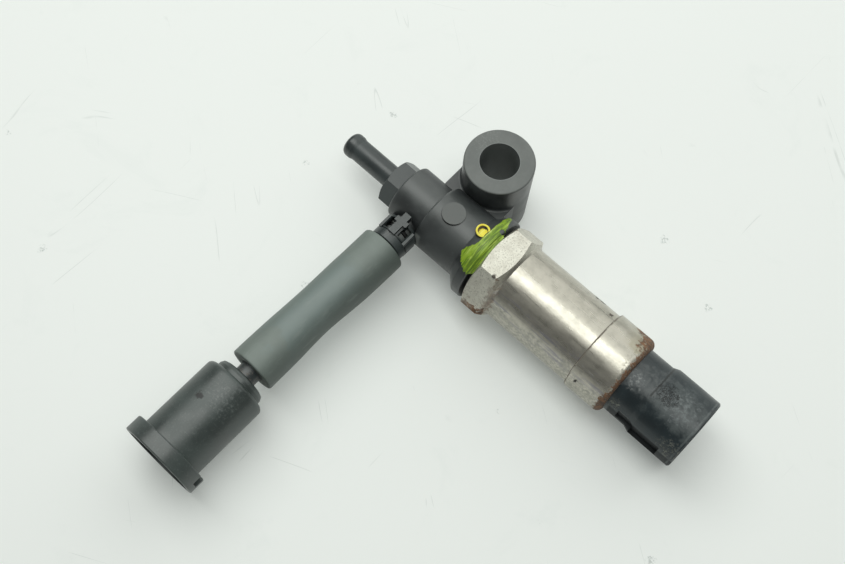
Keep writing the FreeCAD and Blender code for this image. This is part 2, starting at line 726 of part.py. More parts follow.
def make_branch():
    """Snap-in hose connector with its latches, the stub seal and the hose."""
    step = "neck_socket_s + fit_gap * 8"
    barbs = []
    for number in range(BARBS):
        start = f"tail_end_s - barb_length - barb_pitch * {BARBS - 1 - number}"
        barbs += [(start, "stem_radius"), (start, "barb_radius"),
                  (f"{start} + barb_length", "shaft_radius")]
    connector = turned("branch_connector", [
        ("neck_s", "stub_radius + fit_gap * 2"), ("neck_s", "neck_radius"),
        ("neck_socket_s", "neck_radius"), ("neck_socket_s", "neck_radius - fit_gap * 8"),
        (step, "neck_radius - fit_gap * 8"), (step, "neck_radius + fit_gap * 2"),
        ("neck_end_s - fit_gap * 4", "neck_radius + fit_gap * 2"),
        ("neck_end_s", "neck_radius - fit_gap * 2"), ("neck_end_s", "stem_radius"),
        *barbs, ("tail_end_s", "stem_bore_radius"), ("neck_socket_s", "stem_bore_radius"),
        ("neck_socket_s", "stub_radius + fit_gap * 2"),
    ], BRANCH)
    for side in ("", "-"):
        window = rectangle(new_sketch(connector, "XY_Plane"), "neck_s + edge_round",
                           "neck_socket_s - fit_gap * 8", f"{side}window_inner", f"{side}window_outer")
        extrude(connector, window, "neck_radius * 3", cut=True, middle=True)
    for side in ("", "-"):
        rib = rectangle(new_sketch(connector, "XY_Plane"), "neck_s + edge_round", step,
                        f"{side}rib_inner", f"{side}rib_side")
        extrude(connector, rib, "rib_half_height * 2", middle=True)
    for level in ("latch_bottom", "-latch_top"):
        latch = outline(new_sketch(connector, "XY_Plane", level), [
            ("latch_tip_s", "-latch_half_width"), ("latch_tip_s", "latch_half_width"),
            ("latch_bar_s", "latch_half_width"), ("latch_bar_s", "latch_bar_half_width"),
            ("latch_bar_end_s", "latch_bar_half_width"), ("latch_bar_end_s", "latch_half_width"),
            (step, "latch_half_width"), (step, "-latch_half_width"),
            ("latch_bar_end_s", "-latch_half_width"), ("latch_bar_end_s", "-latch_bar_half_width"),
            ("latch_bar_s", "-latch_bar_half_width"), ("latch_bar_s", "-latch_half_width"),
        ])
        extrude(connector, latch, "latch_top - latch_bottom")
    o_ring("branch_o_ring", "stub_groove_s + stub_groove_width / 2", "stub_groove_radius",
           "stub_radius + fit_gap * 2", BRANCH)
    make_hose()


def make_hose():
    """Short rubber hose in a shallow S of two equal arcs."""
    body = new_body("rubber_hose", BRANCH)
    start = size_of("hose_s")
    end = size_of("hose_end_s")
    aside = size_of("cup_x - branch_x")
    radius = ((end - start) ** 2 + aside ** 2) / (4 * abs(aside))
    half_turn = math.asin((end - start) / 2 / radius)
    up = Vector(0, 0, 1)
    path = new_sketch(body, "XY_Plane")
    near = Part.Circle(Vector(start, -radius, 0), up, radius)
    far = Part.Circle(Vector(end, aside + radius, 0), up, radius)
    quarter = math.pi / 2
    path.addGeometry(Part.ArcOfCircle(near, quarter - half_turn, quarter), False)
    path.addGeometry(Part.ArcOfCircle(far, 3 * quarter - half_turn, 3 * quarter), False)
    path.addConstraint(Sketcher.Constraint("PointOnObject", 0, 2, -1))
    path.addConstraint(Sketcher.Constraint("Vertical", 0, 3, 0, 2))
    path.addConstraint(Sketcher.Constraint("Vertical", 1, 3, 1, 2))
    path.addConstraint(Sketcher.Constraint("Tangent", 0, 1, 1, 1))
    path.addConstraint(Sketcher.Constraint("Equal", 0, 1))
    bind(path, "DistanceX", (-1, 1), (0, 2), "hose_s")
    bind(path, "DistanceX", (-1, 1), (1, 2), "hose_end_s")
    bind(path, "DistanceY", (-1, 1), (1, 2), "cup_x - branch_x")
    section = circle(new_sketch(body, "YZ_Plane", "hose_s"), "hose_radius")
    circle(section, "hose_bore_radius")
    pipe = body.newObject("PartDesign::AdditivePipe", "rubber_hose_pipe")
    pipe.Profile = section
    pipe.Spine = path
    DOC.recompute()


# --- coupling cup ---------------------------------------------------------------------------

def make_cup():
    """Barbed spigot in the hose end and the cup that turns on it."""
    barbs = []
    for number in range(BARBS):
        start = f"spigot_tail_s + barb_pitch * {number}"
        barbs += [(start, "shaft_radius"), (f"{start} + barb_length", "barb_radius"),
                  (f"{start} + barb_length", "stem_radius")]
    spigot_shoulder = "spigot_flange_s + spigot_flange"
    turned("cup_spigot", [
        ("spigot_tail_s", "stem_bore_radius"), *barbs, ("spigot_flange_s", "stem_radius"),
        ("spigot_flange_s", "spigot_flange_radius"), (spigot_shoulder, "spigot_flange_radius"),
        (spigot_shoulder, "spigot_tip_radius"), ("spigot_tip_s", "spigot_tip_radius"),
        ("spigot_tip_s", "stem_bore_radius"),
    ], CUP)
    turned("cup_neck_ring", [
        ("ring_s", "stem_radius + fit_gap * 1.6"), ("ring_s", "ring_small_radius"),
        ("ring_s + ring_bevel / 4", "ring_small_radius + ring_bevel * 0.6"),
        ("ring_s + ring_bevel", "ring_radius"), ("cup_s - fit_gap", "ring_radius"),
        ("cup_s - fit_gap", "stem_radius + fit_gap * 1.6"),
    ], CUP)
    cup = turned("coupling_cup", [
        ("cup_s", "swivel_pocket_radius"), ("cup_s", "cup_radius"), ("cup_flange_s", "cup_radius"),
        ("cup_flange_s", "cup_flange_radius"), ("cup_end_s", "cup_flange_radius"),
        ("cup_end_s", "cup_mouth_radius"), ("cup_end_s - cup_mouth_depth", "cup_mouth_radius"),
        ("cup_end_s - cup_mouth_depth", "cup_bore_radius"), ("cup_seal_s", "cup_bore_radius"),
        ("cup_seal_s", "cup_seal_outer"), ("cup_floor_s", "cup_seal_outer"),
        ("cup_floor_s", "spigot_tip_radius + fit_gap"),
        ("cup_groove_s", "spigot_tip_radius + fit_gap"), ("cup_groove_s", "cup_groove_radius"),
        ("swivel_pocket_s", "cup_groove_radius"), ("swivel_pocket_s", "swivel_pocket_radius"),
    ], CUP)
    round_edges(cup, "cup_round", ring_edges(cup.Tip.Shape, size_of("cup_s"), size_of("cup_radius")))
    rim = ring_edges(cup.Tip.Shape, size_of("cup_flange_s"), size_of("cup_flange_radius"))
    rim += ring_edges(cup.Tip.Shape, size_of("cup_end_s"), size_of("cup_flange_radius"))
    round_edges(cup, "edge_round / 2", rim)
    notch = rectangle(new_sketch(cup, "XZ_Plane", "notch_depth - cup_flange_radius"), "cup_flange_s",
                      "cup_flange_s + notch_length", "notch_low", "notch_low + notch_half_width * 2")
    extrude(cup, notch, "notch_depth * 2", cut=True)
    o_ring("cup_o_ring", "(swivel_pocket_s + cup_groove_s) / 2", "spigot_tip_radius + fit_gap",
           "cup_groove_radius - fit_gap", CUP)
    plain_ring("cup_seal", "cup_floor_s + fit_gap", "cup_floor_s + fit_gap + cup_seal_width",
               "cup_seal_inner", "cup_seal_outer - fit_gap", CUP)


def check_document():
    """Stop if any object failed or any piece is not one valid solid."""
    DOC.recompute()
    failed = [item.Label for item in DOC.Objects if {"Invalid", "Error"} & set(item.State)]
    if failed:
        raise RuntimeError("failed objects: " + ", ".join(failed))
    for piece in PIECES:
        shape = piece.Shape
        if shape.isNull() or not shape.isValid() or len(shape.Solids) != 1:
            raise RuntimeError(f"{piece.Label} is not one valid solid")


make_manifold()
make_inlet()
make_housing()
make_valve()
make_spring()
make_coil()
make_connector()
make_branch()
make_cup()
check_document()
os.makedirs("parts", exist_ok=True)
for piece in PIECES:
    piece.Shape.exportStep(f"parts/{piece.Label}.step")
print(len(PIECES), "pieces written")
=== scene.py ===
"""Looks of the solenoid dosing injector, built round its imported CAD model.

Everything is in metres in the CAD's own frame: +X along the main axis from the inlet nipple to
the electrical connector, +Z up the mounting boss, and the hose branch towards -Y.
"""

import json
import math
from functools import partial, reduce

import bpy
from mathutils import Matrix, Vector, noise


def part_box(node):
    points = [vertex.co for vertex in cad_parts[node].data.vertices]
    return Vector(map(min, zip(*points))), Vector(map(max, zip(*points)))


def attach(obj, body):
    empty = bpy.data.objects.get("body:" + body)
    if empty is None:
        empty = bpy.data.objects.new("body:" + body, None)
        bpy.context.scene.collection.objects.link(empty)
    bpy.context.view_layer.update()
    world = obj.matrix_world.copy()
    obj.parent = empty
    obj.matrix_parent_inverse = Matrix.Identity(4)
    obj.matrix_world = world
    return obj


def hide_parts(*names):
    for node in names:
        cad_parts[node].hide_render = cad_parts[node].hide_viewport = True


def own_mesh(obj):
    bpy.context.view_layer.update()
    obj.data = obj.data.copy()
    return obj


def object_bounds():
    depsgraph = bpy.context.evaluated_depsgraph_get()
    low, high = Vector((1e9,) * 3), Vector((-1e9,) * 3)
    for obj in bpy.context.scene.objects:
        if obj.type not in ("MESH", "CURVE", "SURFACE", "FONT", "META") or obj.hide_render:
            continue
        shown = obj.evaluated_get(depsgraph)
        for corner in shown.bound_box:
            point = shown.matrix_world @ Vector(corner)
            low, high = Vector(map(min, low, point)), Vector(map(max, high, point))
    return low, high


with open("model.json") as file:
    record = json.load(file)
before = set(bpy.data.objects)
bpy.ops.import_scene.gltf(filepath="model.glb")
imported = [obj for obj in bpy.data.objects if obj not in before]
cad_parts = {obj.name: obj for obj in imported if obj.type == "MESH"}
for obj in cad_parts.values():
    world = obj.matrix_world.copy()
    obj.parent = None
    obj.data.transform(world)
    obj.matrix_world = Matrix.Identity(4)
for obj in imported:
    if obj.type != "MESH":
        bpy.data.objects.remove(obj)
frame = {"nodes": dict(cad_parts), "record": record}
CAD_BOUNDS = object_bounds()
NODES = frame["nodes"]
MM = 0.001

# Places that the CAD boxes give.
FLOOR_Z = CAD_BOUNDS[0].z
MAIN_Y = sum(corner.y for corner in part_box("solenoid_housing")) / 2


# --- materials ------------------------------------------------------------------------------

class Finish:
    """A node material: one principled shader and the procedural textures that feed it.

    Textures are placed in the object's own coordinates, in millimetres.
    """

    def __init__(self, name, colour, roughness, metallic=0.0):
        self.material = bpy.data.materials.new(name)
        self.material.use_nodes = True
        self.tree = self.material.node_tree
        self.shader = self.tree.nodes["Principled BSDF"]
        self.set("Base Color", (*colour, 1))
        self.set("Roughness", roughness)
        self.set("Metallic", metallic)
        metres = self.node("ShaderNodeTexCoord").outputs["Object"]
        self.place = self.node("ShaderNodeVectorMath", {0: metres, "Scale": 1 / MM},
                               operation="SCALE").outputs[0]

    def set(self, socket, value):
        """Give one of the shader's sockets a constant."""
        self.shader.inputs[socket].default_value = value

    def now(self, socket):
        """What one of the shader's sockets has: the texture linked to it, or its constant."""
        slot = self.shader.inputs[socket]
        return slot.links[0].from_socket if slot.is_linked else slot.default_value

    def node(self, kind, links=(), **settings):
        """A new node with its settings, and its inputs set or linked."""
        made = self.tree.nodes.new(kind)
        for name, value in settings.items():
            setattr(made, name, value)
        for key, value in dict(links).items():
            if isinstance(value, bpy.types.NodeSocket):
                self.tree.links.new(value, made.inputs[key])
            else:
                made.inputs[key].default_value = value
        return made

    def feed(self, socket, source):
        """Link a texture to one of the shader's sockets."""
        self.tree.links.new(source, self.shader.inputs[socket])

    def noise(self, size, detail=3.0, rough=0.5, stretch=None, warp=0.0):
        """Smooth noise with features of about this size; stretch scales each axis."""
        place = self.place
        if stretch:
            place = self.node("ShaderNodeVectorMath", {0: place, 1: stretch},
                              operation="MULTIPLY").outputs[0]
        links = {"Vector": place, "Scale": 1 / size, "Detail": detail,
                 "Roughness": rough, "Distortion": warp}
        return self.node("ShaderNodeTexNoise", links).outputs["Fac"]

    def cells(self, size):
        """Distance to the nearest of many scattered points, this far apart."""
        links = {"Vector": self.place, "Scale": 1 / size}
        return self.node("ShaderNodeTexVoronoi", links).outputs["Distance"]

    def ramp(self, value, low, high, start=0.0, end=1.0):
        """Smooth step from start to end as value goes from low to high."""
        links = {"Value": value, "From Min": low, "From Max": high, "To Min": start, "To Max": end}
        made = self.node("ShaderNodeMapRange", links, interpolation_type="SMOOTHSTEP")
        return made.outputs["Result"]

    def math(self, operation, first, second=0.0):
        """One sum on two values."""
        made = self.node("ShaderNodeMath", {0: first, 1: second}, operation=operation)
        return made.outputs[0]

    def both(self, *masks):
        """The product of several masks."""
        return reduce(partial(self.math, "MULTIPLY"), masks)

    def either(self, *masks):
        """The largest of several masks."""
        return reduce(partial(self.math, "MAXIMUM"), masks)

    def ragged(self, value, reach, size=1.0):
        """A value pushed up and down by noise, for an uneven edge."""
        push = self.ramp(self.noise(size, 5, 0.6), 0.3, 0.7, -reach, reach)
        return self.math("ADD", value, push)

    def band(self, value, low, high, soft):
        """1 while value lies between low and high, fading out over soft beyond them."""
        return self.both(self.ramp(value, low - soft, low), self.ramp(value, high + soft, high))

    def distance(self, centre):
        """Millimetres from a point."""
        made = self.node("ShaderNodeVectorMath", {0: self.place, 1: centre}, operation="DISTANCE")
        return made.outputs["Value"]

    def near(self, centre, reach, fuzz=0.0):
        """1 at a point and 0 beyond its reach, with a ragged edge."""
        away = self.distance(centre)
        if fuzz:
            away = self.ragged(away, fuzz)
        return self.ramp(away, reach, reach * 0.5)

    def axis(self, name):
        """One of the object's own coordinates."""
        return self.node("ShaderNodeSeparateXYZ", {0: self.place}).outputs[name]

    def around(self):
        """Degrees round the main axis: 0 towards -Y, 90 up and 180 towards +Y."""
        aside = self.math("SUBTRACT", MAIN_Y / MM, self.axis("Y"))
        return self.math("DEGREES", self.math("ARCTAN2", self.axis("Z"), aside))

    def mix(self, factor, first, second):
        """Colours first and second blended by factor; each is a few numbers or a socket."""
        made = self.node("ShaderNodeMix", data_type="RGBA")
        for key, value in ((0, factor), (6, first), (7, second)):
            if isinstance(value, bpy.types.NodeSocket):
                self.tree.links.new(value, made.inputs[key])
            else:
                made.inputs[key].default_value = value if key == 0 else (*value[:3], 1)
        return made.outputs[2]

    def cover(self, mask, colour, roughness, metallic=None, share=None):
        """Lay another finish, or a share of it, over this one where the mask is 1."""
        if share:
            mask = self.math("MULTIPLY", mask, share)
        self.feed("Base Color", self.mix(mask, self.now("Base Color"), colour))
        self.feed("Roughness", self.ramp(mask, 0, 1, self.now("Roughness"), roughness))
        if metallic is not None:
            self.feed("Metallic", self.ramp(mask, 0, 1, self.now("Metallic"), metallic))

    def emboss(self, height, depth, strength=1.0):
        """Bump from a height of 0 to 1 that stands for depth millimetres."""
        links = {"Height": height, "Distance": depth * MM, "Strength": strength}
        if self.shader.inputs["Normal"].is_linked:
            links["Normal"] = self.now("Normal")
        self.feed("Normal", self.node("ShaderNodeBump", links).outputs[0])


def tint(colour, factor):
    """A colour made lighter or darker."""
    return [value * factor for value in colour]


def black_plastic(name, colour, roughness, dust=0.25, gloss=0.5):
    """Moulded satin plastic: fine grain, slow tone changes and a little pale dust."""
    skin = Finish(name, colour, roughness)
    skin.set("Specular IOR Level", gloss)
    slow = skin.ramp(skin.noise(9, 3), 0.3, 0.7)
    tone = skin.mix(slow, tint(colour, 0.8), tint(colour, 1.35))
    dusty = skin.math("MULTIPLY", skin.ramp(skin.noise(2.2, 6, 0.7), 0.56, 0.8), dust)
    skin.feed("Base Color", skin.mix(dusty, tone, (0.16, 0.17, 0.165)))
    skin.feed("Roughness", skin.ramp(slow, 0, 1, roughness - 0.05, roughness + 0.08))
    skin.emboss(skin.noise(0.35, 3, 0.6), 0.012, 0.5)
    return skin


def manifold_plastic():
    """Manifold moulding: dull top faces painted paler as painted light, a painted highlight along
    the barrel's top, and a few pale scuffs along its edges.
    """
    skin = black_plastic("manifold_plastic", (0.033, 0.037, 0.038), 0.4, gloss=0.85)
    level = skin.axis("Z")
    # Painted light: the top faces of the boss get a much paler colour than its sides.
    top = skin.ramp(level, 14.6, 14.9)
    patchy = skin.ramp(skin.noise(3.5, 5, 0.65), 0.3, 0.7)
    skin.cover(top, skin.mix(patchy, (0.112, 0.122, 0.116), (0.138, 0.148, 0.141)), 0.55)
    scuffs = skin.ramp(skin.noise(0.5, 5), 0.5, 0.62)
    rim = skin.both(top, skin.near((-9, 3, 15), 7, 2.5), scuffs)
    skin.cover(rim, (0.21, 0.22, 0.21), 0.6, share=0.6)
    # Painted highlight: a paler band along the top of the barrel, where light from above is
    # reflected.
    painted_crown_highlight = skin.band(skin.ragged(skin.around(), 6, 5), 74, 112, 30)
    cloudy = skin.ramp(skin.noise(4, 5, 0.6), 0.2, 0.6, 0.5, 1)
    painted_crown_highlight = skin.both(painted_crown_highlight, skin.band(level, 8, 14, 1), cloudy)
    skin.cover(painted_crown_highlight, (0.066, 0.073, 0.072), 0.42)
    gate = (0.5, -20.4, 11.2)
    # Painted highlight: the flat top of the gate pad is coloured paler than the barrel round it.
    disc = skin.both(skin.band(level, 11.1, 11.3, 0.02), skin.near(gate, 7.6))
    skin.cover(disc, (0.082, 0.089, 0.085), 0.5)
    # Painted shadow: a dark arc along the gate pad's lower-left edge, where the pad's rim shades
    # the barrel.
    pad_edge_shadow = skin.both(skin.band(skin.distance(gate), 3.6, 3.8, 0.1),
                       skin.ramp(skin.axis("Y"), -20.6, -22.2))
    skin.cover(pad_edge_shadow, (0.012, 0.014, 0.014), 0.5)
    # Painted light: the branch stub inside the connector's shroud, seen through the latch windows,
    # is coloured pale so the shaded pockets read light.
    stub = skin.both(skin.ramp(skin.axis("Y"), -30.2, -30.6), skin.ramp(skin.axis("X"), -3, -4))
    skin.cover(stub, (0.16, 0.172, 0.165), 0.5)
    # Painted light: the inside of the boss's bore is coloured pale, so its shaded walls read
    # light.
    flat = skin.node("ShaderNodeVectorMath", {0: skin.place, 1: (1, 1, 0)}, operation="MULTIPLY")
    from_boss = skin.node("ShaderNodeVectorMath", {0: flat.outputs[0]}, operation="LENGTH")
    bore = skin.ramp(from_boss.outputs["Value"], 6.3, 6.2)
    skin.cover(bore, (0.17, 0.185, 0.18), 0.45)
    return skin


def nipple_plastic():
    """Smoother mouldings of the nipple and the hose fittings, with dirt caught on the spigot."""
    skin = black_plastic("nipple_plastic", (0.024, 0.032, 0.033), 0.36, dust=0.1, gloss=0.85)
    spigot = skin.ramp(skin.axis("Y"), -93, -94)
    dirt = skin.both(spigot, skin.ramp(skin.noise(1.0, 5, 0.65), 0.5, 0.62))
    skin.cover(dirt, (0.13, 0.115, 0.10), 0.6)
    corner = skin.near((-18.6, -27.6, 5.4), 1.3, 0.4)
    speck = skin.both(corner, skin.ramp(skin.noise(0.5, 3), 0.5, 0.58))
    skin.cover(speck, (0.42, 0.43, 0.42), 0.6)
    return skin


def connector_plastic():
    """Connector moulding: paler above, part wear and part painted sheen; crazed near the head's
    step, with painted shade in the step; gritty track ends.
    """
    skin = black_plastic("connector_plastic", (0.008, 0.016, 0.020), 0.36, dust=0.12, gloss=0.65)
    along = skin.axis("X")
    angle = skin.ragged(skin.around(), 12, 4)
    # Paler above: partly worn plastic, partly a painted sheen where light from above falls on the
    # connector.
    upper = skin.band(angle, 66, 108, 16)
    head = skin.both(skin.band(along, 79, 93, 1.5), upper)
    worn = skin.both(head, skin.ramp(skin.noise(3.2, 5, 0.6, warp=0.8), 0.2, 0.75))
    skin.cover(worn, (0.076, 0.090, 0.092), 0.5)
    lip = skin.both(skin.ramp(along, 70, 71), skin.band(skin.around(), -24, 10, 4))
    skin.cover(lip, (0.005, 0.009, 0.011), 0.7)
    # The collar's top is paler too: part wear, part painted sheen.
    collar = skin.both(skin.band(along, 68, 78, 1), upper)
    collar_wear_and_sheen = skin.both(collar, skin.ramp(skin.noise(2.6, 5, 0.6, warp=0.8), 0.25, 0.8))
    skin.cover(collar_wear_and_sheen, (0.10, 0.11, 0.112), 0.5)
    # Pale patches on the head: part scuffs, part a painted highlight along the head's top.
    haze_and_highlight = skin.both(skin.near((86.3, -21.2, 11.7), 6, 2),
                     skin.ramp(skin.noise(1.2, 5, 0.65), 0.4, 0.7))
    skin.cover(haze_and_highlight, (0.16, 0.18, 0.185), 0.55)
    chafe = skin.both(skin.near((71.6, -23.4, 10.6), 3.4, 1),
                      skin.ramp(skin.noise(0.9, 5, 0.65), 0.45, 0.75))
    skin.cover(chafe, (0.26, 0.27, 0.27), 0.55)
    crazed = skin.both(skin.near((81.3, -20.2, 11.7), 4.2, 1.2),
                       skin.ramp(skin.noise(0.8, 4, 0.6, warp=3), 0.5, 0.55))
    skin.cover(crazed, (0.004, 0.005, 0.006), 0.45)
    # Painted shade: a dark band in the step between the collar and the head.
    step = skin.band(skin.ragged(along, 0.12, 1.5), 77.55, 77.85, 0.25)
    step = skin.both(step, skin.band(skin.ragged(skin.around(), 6, 3), 78, 140, 8))
    skin.cover(step, (0.010, 0.013, 0.014), 0.5)
    rim = skin.both(skin.band(along, 92.6, 93.0, 0.15), skin.ramp(skin.noise(1.6, 4), 0.35, 0.6))
    skin.cover(rim, (0.15, 0.17, 0.17), 0.5, share=0.5)
    track_ends = skin.either(skin.near((71.0, -30.4, 4.6), 2.6, 0.7),
                             skin.near((90.8, -30.6, 5.4), 4.2, 1.2))
    grit = skin.both(track_ends, skin.ramp(skin.noise(0.9, 5, 0.75), 0.5, 0.6))
    skin.cover(grit, (0.19, 0.20, 0.175), 0.7)
    skin.emboss(grit, 0.15)
    skin.emboss(skin.math("SUBTRACT", 1, crazed), 0.06)
    streaks = skin.ramp(skin.noise(1.6, 4, 0.6, stretch=(0.2, 1, 1)), 0.3, 0.7)
    skin.emboss(streaks, 0.03, 0.5)
    return skin


def cup_plastic():
    """Cup moulding: fine speckle, paler towards the top as a painted highlight, a worn patch near
    the shoulder and one dark mark.
    """
    skin = black_plastic("cup_plastic", (0.032, 0.044, 0.041), 0.4, dust=0.15, gloss=0.95)
    # Pale speckle on the upper part only: real speckle, with the top made paler as a painted
    # highlight.
    speckle = skin.ramp(skin.noise(0.6, 5, 0.75), 0.5, 0.75)
    upper = skin.ramp(skin.axis("Z"), 3, 9)
    skin.cover(skin.both(speckle, upper), (0.115, 0.135, 0.13), 0.5, share=0.7)
    patch = skin.both(skin.near((-7.5, -105.5, 9.5), 5, 2),
                      skin.ramp(skin.noise(0.8, 5, 0.7), 0.45, 0.7))
    skin.cover(patch, (0.18, 0.2, 0.195), 0.55, share=0.55)
    mark = skin.both(skin.near((-13.6, -109.3, 10), 1.6, 0.4),
                     skin.ramp(skin.noise(0.8, 3), 0.36, 0.44))
    skin.cover(mark, (0.004, 0.005, 0.005), 0.6)
    return skin


def steel(name, colour, roughness):
    """Plain turned steel or brass with fine turning lines round the main axis."""
    skin = Finish(name, colour, roughness, 1.0)
    lines = skin.noise(0.4, 4, 0.6, stretch=(1, 0.03, 0.03))
    skin.feed("Roughness", skin.ramp(lines, 0.3, 0.7, roughness - 0.06, roughness + 0.1))
    skin.emboss(lines, 0.006, 0.5)
    return skin


def plated(name):
    """Nickel plate: soft streaks along the tube, grey mottling, and worn grey low on the side."""
    clean, grey = (0.55, 0.52, 0.455), (0.43, 0.41, 0.355)
    smooth, dull = 0.24, 0.4
    skin = Finish(name, clean, smooth, 1.0)
    mottle = skin.ramp(skin.noise(2.6, 6, 0.65), 0.4, 0.75)
    skin.feed("Base Color", skin.mix(mottle, clean, grey))
    streak = skin.noise(1.6, 5, 0.6, stretch=(0.12, 1, 1))
    skin.feed("Roughness", skin.ramp(streak, 0.3, 0.7, smooth, dull))
    skin.emboss(skin.noise(0.5, 4, 0.6), 0.03, 0.7)
    skin.emboss(skin.noise(2.4, 5, 0.65, stretch=(0.3, 1, 1)), 0.05, 0.25)
    low = skin.band(skin.ragged(skin.around(), 9, 3), -60, 22, 14)
    worn = skin.both(low, skin.ramp(skin.noise(0.9, 6, 0.7), 0.35, 0.65))
    skin.cover(worn, (0.36, 0.355, 0.31), 0.5, 0.75)
    side = skin.band(skin.ragged(skin.around(), 5, 4), 20, 46, 9)
    scrapes = skin.noise(1.0, 6, 0.7, stretch=(0.07, 1, 1), warp=0.5)
    skin.cover(skin.both(side, skin.ramp(scrapes, 0.48, 0.66)), (0.33, 0.315, 0.34), 0.42, 0.9)
    scratches = skin.ramp(skin.noise(0.8, 6, 0.7, stretch=(0.1, 1, 1)), 0.6, 0.68)
    skin.cover(skin.both(side, scratches), (0.62, 0.60, 0.58), 0.45, 0.9)
    specks = skin.both(low, skin.ramp(skin.noise(0.7, 5, 0.75), 0.64, 0.72))
    skin.cover(specks, (0.14, 0.12, 0.09), 0.6, 0.3)
    return skin


def rust(skin, mask):
    """Brown and orange scale over a metal skin."""
    patches = skin.ramp(skin.noise(1.5, 5, 0.6), 0.3, 0.7)
    shade = skin.mix(patches, (0.085, 0.055, 0.040), (0.24, 0.125, 0.065))
    mask = skin.both(mask, skin.ramp(skin.noise(0.9, 5, 0.65), 0.33, 0.42, 0.25, 1))
    skin.cover(mask, shade, 0.75, 0.0)
    skin.emboss(skin.both(mask, skin.noise(0.6, 4, 0.6)), 0.1, 0.7)


def plated_steel():
    """Hexagon and tube: grainy faces on the hexagon, rust at its lower corner, dark nicks."""
    skin = plated("plated_steel")
    along = skin.axis("X")
    angle = skin.around()
    hexagon = skin.ramp(along, 25.2, 24.8)
    grain = skin.noise(0.5, 4, 0.7)
    slow = skin.ramp(skin.noise(3, 4, 0.6), 0.3, 0.7)
    face = skin.mix(slow, (0.63, 0.605, 0.535), (0.74, 0.72, 0.645))
    pitted = skin.mix(skin.ramp(grain, 0.48, 0.36), face, (0.45, 0.43, 0.375))
    skin.cover(hexagon, pitted, 0.52)
    skin.emboss(skin.both(hexagon, grain), 0.14)
    corner = skin.band(skin.ragged(angle, 7, 2), -14, 6, 4)
    behind = skin.ramp(skin.ragged(along, 2.5, 2), 17, 22, 0.45, 1)
    stain = skin.band(skin.ragged(angle, 12, 2.5), 0, 42, 14)
    foot = skin.both(stain, skin.band(skin.ragged(along, 0.9, 1.3), 24.6, 25.7, 1.2))
    rust(skin, skin.either(skin.both(hexagon, corner, behind), skin.math("MULTIPLY", foot, 0.5),
                           skin.near((24.2, -28.4, 13.2), 1.0, 0.4),
                           skin.near((17.2, -12.2, 13.4), 1.1, 0.5)))
    nicks = skin.either(skin.near((47.6, -9.6, 6.6), 1.3, 0.7),
                        skin.near((49.6, -9.4, 6.0), 1.3, 0.6),
                        skin.near((54.3, -12.5, 9.4), 1.0, 0.5),
                        skin.near((22.9, -28.3, 13.4), 0.9, 0.3))
    skin.cover(nicks, (0.10, 0.085, 0.07), 0.7, 0.1)
    joint = skin.both(skin.ramp(along, 55.95, 56.1),
                      skin.band(skin.ragged(angle, 8, 3), 25, 150, 10))
    skin.cover(joint, (0.10, 0.08, 0.06), 0.6, 0.3, share=0.8)
    return skin


def crimped_steel():
    """Crimp sleeve: the same plate, rusted where it is rolled over the connector."""
    skin = plated("crimped_steel")
    along = skin.ragged(skin.axis("X"), 0.75, 1.5)
    angle = skin.around()
    film = skin.both(skin.ramp(along, 60.5, 66.5),
                     skin.band(skin.ragged(angle, 10, 3), 108, 170, 14))
    skin.cover(film, (0.33, 0.29, 0.17), 0.5, 0.5, share=0.5)
    worn = skin.both(skin.ramp(along, 64.5, 67.5), skin.ramp(skin.noise(1.0, 5, 0.7), 0.45, 0.6))
    skin.cover(worn, (0.30, 0.28, 0.23), 0.6, 0.5, share=0.6)
    rolled = skin.ramp(along, 67.9, 68.4)
    wide = skin.both(skin.ramp(along, 64.9, 65.8),
                     skin.band(skin.ragged(angle, 8, 2), 118, 250, 10))
    under = skin.both(skin.ramp(along, 66.9, 67.5),
                      skin.band(skin.ragged(angle, 8, 2), -80, 30, 10))
    tail = skin.both(skin.ramp(along, 61.6, 63.4),
                     skin.band(skin.ragged(angle, 6, 2), 144, 250, 8))
    rust(skin, skin.either(rolled, wide, under, tail))
    skin.cover(skin.near((59.0, -32.4, 4.2), 1.0, 0.4), (0.03, 0.028, 0.025), 0.7, 0.0)
    edge = skin.both(skin.ramp(skin.axis("X"), 56.75, 56.45),
                     skin.ramp(skin.noise(1.4, 4), 0.3, 0.6))
    skin.cover(edge, (0.13, 0.10, 0.075), 0.6, 0.3, share=0.75)
    return skin


def rubber(name, colour):
    """Matt rubber with faint smudges."""
    skin = Finish(name, colour, 0.62)
    smudge = skin.ramp(skin.noise(7, 4, 0.6), 0.35, 0.7)
    skin.feed("Base Color", skin.mix(smudge, colour, tint(colour, 1.12)))
    skin.emboss(skin.noise(0.3, 3), 0.01, 0.5)
    return skin


def hose_rubber():
    """Grey-green hose with faint bluish patches, and painted shade down its flanks, darkest on the
    +X flank.
    """
    skin = rubber("hose_rubber", (0.165, 0.197, 0.179))
    skin.set("Specular IOR Level", 1.0)
    cool = skin.band(skin.ragged(skin.axis("Y"), 6, 8), -80, -55, 8)
    skin.cover(cool, (0.155, 0.205, 0.20), 0.5, share=0.6)
    # Painted shade: the +X flank of the hose, away from the light, is coloured darker.
    edge = skin.ramp(skin.ragged(skin.axis("X"), 0.5, 9), -9.5, -3.5)
    skin.cover(edge, (0.068, 0.089, 0.078), 0.6, share=0.9)
    # Painted shade: the -X flank is coloured a little darker too.
    side = skin.ramp(skin.ragged(skin.axis("X"), 0.5, 9), -13, -16)
    skin.cover(side, (0.115, 0.14, 0.125), 0.6, share=0.5)
    rubs = skin.ramp(skin.noise(2.2, 5, 0.65, stretch=(1, 0.25, 1)), 0.52, 0.75)
    skin.cover(rubs, (0.24, 0.27, 0.25), 0.65, share=0.35)
    return skin


